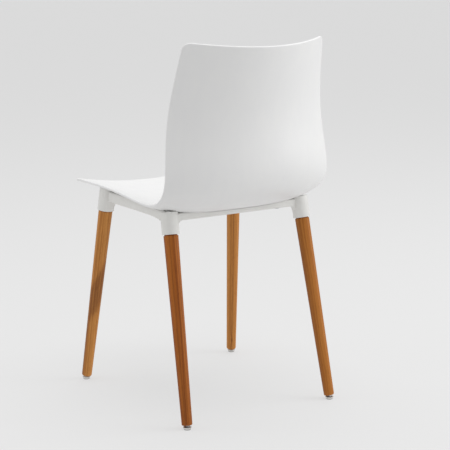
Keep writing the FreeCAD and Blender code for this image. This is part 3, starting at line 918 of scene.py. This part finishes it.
class LegBlank(Enum):
    """The four blanks that the legs are turned from, each with its own figure."""

    FRONT_LEFT = OiledWood(
        "oiled_wood_front_left", (0.570, 0.250, 0.062), (0.420, 0.160, 0.030),
        (0.150, 0.042, 0.009), (0.045, -0.030), 0.0042, 0.31, 0.36,
        hearts_and_shade=((HeartAndShadePlane(2.65, 0.2555, False, 0.016), HeartAndShadePlane(1.9, 0.158, soft=0.020)),
                (HeartAndShadePlane(2.65, 0.2555, False, 0.016), HeartAndShadePlane(None, -0.0085, False, 0.0012))))
    FRONT_RIGHT = OiledWood(
        "oiled_wood_front_right", (0.560, 0.240, 0.056), (0.450, 0.176, 0.034),
        (0.170, 0.050, 0.010), (-0.060, 0.025), 0.0036, 1.73, 0.34,
        streaks=((0.0015, 0.0014, 0.90), (-0.0060, 0.0011, 0.40)),
        knots=(Knot(0.376, 0.0050, 0.0030), Knot(0.028, 0.0010, 0.0032)))
    REAR_LEFT = OiledWood(
        "oiled_wood_rear_left", (0.415, 0.128, 0.015), (0.285, 0.074, 0.006),
        (0.110, 0.024, 0.003), (0.090, 0.060), 0.0034, 2.57, 0.50,
        streaks=((-0.0030, 0.0022, 0.60), (0.0045, 0.0028, 0.52), (0.0105, 0.0015, 0.45)))
    REAR_RIGHT = OiledWood(
        "oiled_wood_rear_right", (0.490, 0.190, 0.034), (0.370, 0.122, 0.016),
        (0.165, 0.044, 0.005), (0.080, -0.050), 0.0040, 3.91, 0.44, heart_and_shade_depth=0.60,
        # painted shade: this upright plane darkens the side of the leg that faces away from the side light
        hearts_and_shade=((HeartAndShadePlane(None, -0.0060, False, 0.0045),),))


@dataclass
class LegLine:
    """One leg's line, from the ball of its glide up into its socket.

    Fields: side; end; lean_side and lean_run, its lean in degrees seen from the front and from
    the side; rim_height, where its socket starts; end_height, where the leg ends.
    """

    side: Side
    end: End
    lean_side: float
    lean_run: float
    rim_height: float
    end_height: float = 0.0084

    def __post_init__(self) -> None:
        """Find the line from the glide's joint and the two angles."""
        joint = next(j for j in frame["joints"] if j["name"] == f"glide_tilt_{self.corner}")
        self.ball = Vector(joint["pos_m"])
        toward_middle = -self.side.value * math.tan(math.radians(self.lean_side))
        along = math.tan(math.radians(self.lean_run)) * (1 if self.end is End.FRONT else -1)
        self.up = Vector((toward_middle, along, 1)).normalized()
        self.foot = self.ball + self.up * ((self.end_height - self.ball.z) / self.up.z)
        self.reach = (self.rim_height - self.end_height) / self.up.z

    @property
    def corner(self) -> str:
        """The corner's name, as the CAD nodes use it."""
        return f"{self.end.value}_{self.side.name.lower()}"


@dataclass
class Leg:
    """A turned leg, tapered below its socket and recessed for the collar of its glide."""

    line: LegLine
    blank: LegBlank
    end_radius: float = 0.0115
    top_radius: float = 0.01595
    in_socket: float = 0.032
    end_round: float = 0.0034
    top_chamfer: float = 0.0015
    groove_height: float = 0.0024
    groove_depth: float = 0.0020
    recess_radius: float = 0.0055
    recess_depth: float = 0.0014
    rows: int = 60

    def profile(self) -> list[Point2]:
        """Radius and height of the leg's outline, from the foot up.

        Returns:
            The outline's points.
        """
        reach, top = self.line.reach, self.line.reach + self.in_socket
        slope = (self.top_radius - self.end_radius) / reach
        round_middle = self.end_radius - self.end_round
        points = [(0, self.recess_depth), (self.recess_radius, self.recess_depth),
                  (self.recess_radius, 0.0002), (self.recess_radius + 0.0002, 0)]
        points += arc((round_middle, self.end_round), self.end_round, -90, 0, 8)
        shoulder = reach - self.groove_height
        for row in range(1, self.rows + 1):
            height = self.end_round + (shoulder - self.end_round) * row / self.rows
            points.append((self.end_radius + slope * height, height))
        neck = self.top_radius - self.groove_depth
        points += [(neck, shoulder + 0.0001), (neck, reach), (self.top_radius, reach)]
        points += [(self.top_radius, top - self.top_chamfer),
                   (self.top_radius - self.top_chamfer, top), (0, top)]
        return points

    def build(self) -> bpy.types.Object:
        """Turn the leg, note its grain directions and set it in place.

        Returns:
            The leg.
        """
        bm = bmesh.new()
        spun(bm, self.profile(), 72, Matrix.Identity(4))
        grain = bm.verts.layers.float_vector.new("grain")
        for vert in bm.verts:
            vert[grain] = vert.co
        bmesh.ops.transform(bm, matrix=towards(self.line.foot, self.line.up), verts=bm.verts)
        piece = finished(bm, f"turned_leg_{self.line.corner}", self.blank.value.material())
        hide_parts(f"leg_{self.line.corner}")
        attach(piece, CHAIR)
        return piece


@dataclass
class Glide:
    """A self-levelling glide: the ball stud in the leg, the metal cup and its nylon pad."""

    line: LegLine
    top_radius: float = 0.0090
    base_radius: float = 0.0077
    top: float = 0.0056
    lift: float = 0.0009
    wall: float = 0.0009
    edge: float = 0.0004
    pad_rim: float = 0.0003
    ball_radius: float = 0.0030
    collar_radius: float = 0.0050
    collar_height: float = 0.0014
    neck_radius: float = 0.0017
    shank_radius: float = 0.003
    shank_length: float = 0.020
    pad_round: float = 0.0003
    broken_edge: float = 0.0002
    play: float = 0.0001
    steps: int = 64

    def placed(self) -> Matrix:
        """The cup's place on the floor, under its ball."""
        return Matrix.Translation((self.line.ball.x, self.line.ball.y, 0))

    def cup(self, material: bpy.types.Material) -> bpy.types.Object:
        """The pressed metal cup, open below.

        Args:
            material: its finish.

        Returns:
            The cup.
        """
        slope = (self.top_radius - self.base_radius) / (self.top - self.lift)
        edge = self.edge
        under = self.top - self.wall
        inner_top = self.base_radius + slope * (under - self.lift) - self.wall
        hole = math.sqrt(self.ball_radius ** 2 - (under - self.line.ball.z) ** 2) + self.play
        throat = math.sqrt(max(self.ball_radius ** 2 - (self.top - self.line.ball.z) ** 2, 0))
        throat += self.play
        points = [(throat, self.top)]
        points += arc((self.top_radius - edge, self.top - edge), edge, 90, -8, 5)
        points += arc((self.base_radius - edge, self.lift + edge), edge, -8, -90, 4)
        points += [(self.base_radius - self.wall, self.lift), (inner_top, under), (hole, under)]
        bm = bmesh.new()
        spun(bm, points, self.steps, self.placed())
        piece = finished(bm, f"glide_cup_{self.line.corner}", material)
        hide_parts(f"glide_cap_{self.line.corner}")
        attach(piece, f"glide_{self.line.corner}")
        return piece

    def pad(self, material: bpy.types.Material) -> bpy.types.Object:
        """The nylon sole inside the cup.

        Args:
            material: its finish.

        Returns:
            The sole.
        """
        sole = self.base_radius - self.pad_rim
        inside = self.base_radius - self.wall - self.play
        points = [(0, 0)] + arc((sole - self.pad_round, self.pad_round), self.pad_round, -90, 0, 4)
        points += [(sole, self.lift), (inside, self.lift), (inside, self.lift * 2),
                   (0, self.lift * 2)]
        bm = bmesh.new()
        spun(bm, points, self.steps, self.placed())
        piece = finished(bm, f"glide_sole_{self.line.corner}", material)
        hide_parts(f"glide_pad_{self.line.corner}")
        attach(piece, f"glide_{self.line.corner}")
        return piece

    def stud(self, material: bpy.types.Material) -> bpy.types.Object:
        """The ball, neck and collar that show between the leg and the cup.

        Args:
            material: its finish.

        Returns:
            The stud.
        """
        drop = (self.line.end_height - self.line.ball.z) / self.line.up.z
        ball, neck = self.ball_radius, self.neck_radius
        meet = math.degrees(math.acos(neck / ball))
        points = arc((0, -drop), ball, -90, meet, 14)
        points[0] = (0, -drop - ball)
        edge, collar, shank = self.broken_edge, self.collar_radius, self.shank_radius
        points += [(neck, -edge), (collar - edge, 0), (collar, edge), (collar, self.collar_height),
                   (shank, self.collar_height), (shank, self.shank_length), (0, self.shank_length)]
        bm = bmesh.new()
        spun(bm, points, 48, towards(self.line.foot, self.line.up))
        piece = finished(bm, f"ball_stud_{self.line.corner}", material)
        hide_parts(f"glide_stud_{self.line.corner}")
        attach(piece, CHAIR)
        return piece


# ---------------------------------------------------------------- fasteners
@dataclass
class Fasteners:
    """The CAD's small hardware, which keeps its shape and gets its finishes here."""

    finishes: dict[str, tuple[str, ...]] = field(default_factory=lambda: {
        "zinc": ("leg_bolts", "leg_washers", "leg_inserts", "shell_screws", "shell_washers"),
        "brass": ("shell_inserts",), "rubber": ("shell_buffers",)})

    def dress(self, materials: dict[str, bpy.types.Material]) -> int:
        """Give each node its finish.

        Args:
            materials: the materials by finish name.

        Returns:
            How many nodes were dressed.
        """
        count = 0
        for finish, nodes in self.finishes.items():
            for node in nodes:
                data = frame["nodes"][node].data
                if not data.materials:
                    data.materials.append(materials[finish])
                for slot in frame["nodes"][node].material_slots:
                    slot.material = materials[finish]
                count += 1
        return count


# ---------------------------------------------------------------- studio
@dataclass
class Studio:
    """Pale paper, soft lights and the camera."""

    camera_at: tuple[float, float, float] = (1.6403, 2.7028, 1.0192)
    yaw: float = -2.5833
    pitch: float = -0.1982
    roll: float = -0.0092
    lens: float = 114.13
    sensor: float = 36.0
    floor_reach: float = 40.0
    sky_level: float = 0.600

    def floor(self) -> None:
        """Lay the paper."""
        bm = bmesh.new()
        bmesh.ops.create_grid(bm, x_segments=8, y_segments=8, size=self.floor_reach)
        floor = finished(bm, "studio_floor", PAPER.material())

    def soft_box(self, name: str, at: tuple, size: tuple, power: float, aim: Vector) -> None:
        """Hang one soft box.

        Args:
            name: the light's name.
            at: where it hangs.
            size: its width and height.
            power: in watts.
            aim: the point it faces.
        """
        light = bpy.data.lights.new(name, "AREA")
        light.shape = "RECTANGLE"
        light.size, light.size_y = size
        light.energy = power
        holder = bpy.data.objects.new(name, light)
        holder.location = at
        holder.rotation_euler = (Vector(at) - aim).to_track_quat("Z", "Y").to_euler()
        bpy.context.scene.collection.objects.link(holder)

    def lights(self) -> None:
        """Light the chair from above, from its right rear side and from its left front."""
        aim = Vector((0, 0, 0.5))
        self.soft_box("overhead", (-0.4, 0.0, 3.6), (3.2, 3.2), 62, aim)
        self.soft_box("side", (-3.6, 2.2, 2.0), (2.4, 2.6), 72, aim)
        self.soft_box("front", (3.0, -1.8, 2.2), (1.6, 1.8), 16, aim)
        world = bpy.data.worlds.new("studio_air")
        world.use_nodes = True
        sky = world.node_tree.nodes["Background"]
        sky.inputs["Color"].default_value = (self.sky_level, self.sky_level, self.sky_level, 1)
        sky.inputs["Strength"].default_value = 1.0
        bpy.context.scene.world = world

    def camera(self) -> None:
        """Set up the camera."""
        ahead = Vector((math.sin(self.yaw) * math.cos(self.pitch),
                        math.cos(self.yaw) * math.cos(self.pitch), math.sin(self.pitch)))
        right = ahead.cross(Z_AXIS).normalized()
        up = right.cross(ahead)
        turned_right = right * math.cos(self.roll) + up * math.sin(self.roll)
        turned_up = up * math.cos(self.roll) - right * math.sin(self.roll)
        lens = bpy.data.cameras.new("camera")
        lens.sensor_width = self.sensor
        lens.lens = self.lens
        holder = bpy.data.objects.new("camera", lens)
        axes = Matrix((turned_right, turned_up, -ahead)).transposed().to_4x4()
        holder.matrix_world = Matrix.Translation(self.camera_at) @ axes
        bpy.context.scene.collection.objects.link(holder)
        bpy.context.scene.camera = holder

    def build(self) -> None:
        """Set the whole studio up."""
        self.camera()
        self.floor()
        self.lights()
        bpy.context.scene.view_settings.view_transform = "Standard"


def report(piece: bpy.types.Object) -> None:
    """Log a finished piece and how many triangles it has."""
    piece.data.calc_loop_triangles()
    log.info("%s: %d triangles", piece.name, len(piece.data.loop_triangles))


def main() -> None:
    """Build the chair's pieces in order, then the studio."""
    logging.basicConfig(level=logging.INFO, format="%(name)s %(message)s")
    metals = {"zinc": ZINC.material(), "brass": BRASS.material(), "rubber": RUBBER.material()}
    nickel, nylon = NICKEL.material(), NYLON.material()
    report(SeatShell().build())
    report(UnderFrame().build())
    for line in [LegLine(side, end, *STANCES[end]) for end in End for side in Side]:
        report(Leg(line, LegBlank[line.corner.upper()]).build())
        glide = Glide(line)
        report(glide.cup(nickel))
        report(glide.pad(nylon))
        report(glide.stud(metals["zinc"]))
    log.info("fasteners: %d nodes dressed", Fasteners().dress(metals))
    Studio().build()


if __name__ == "__main__":
    main()
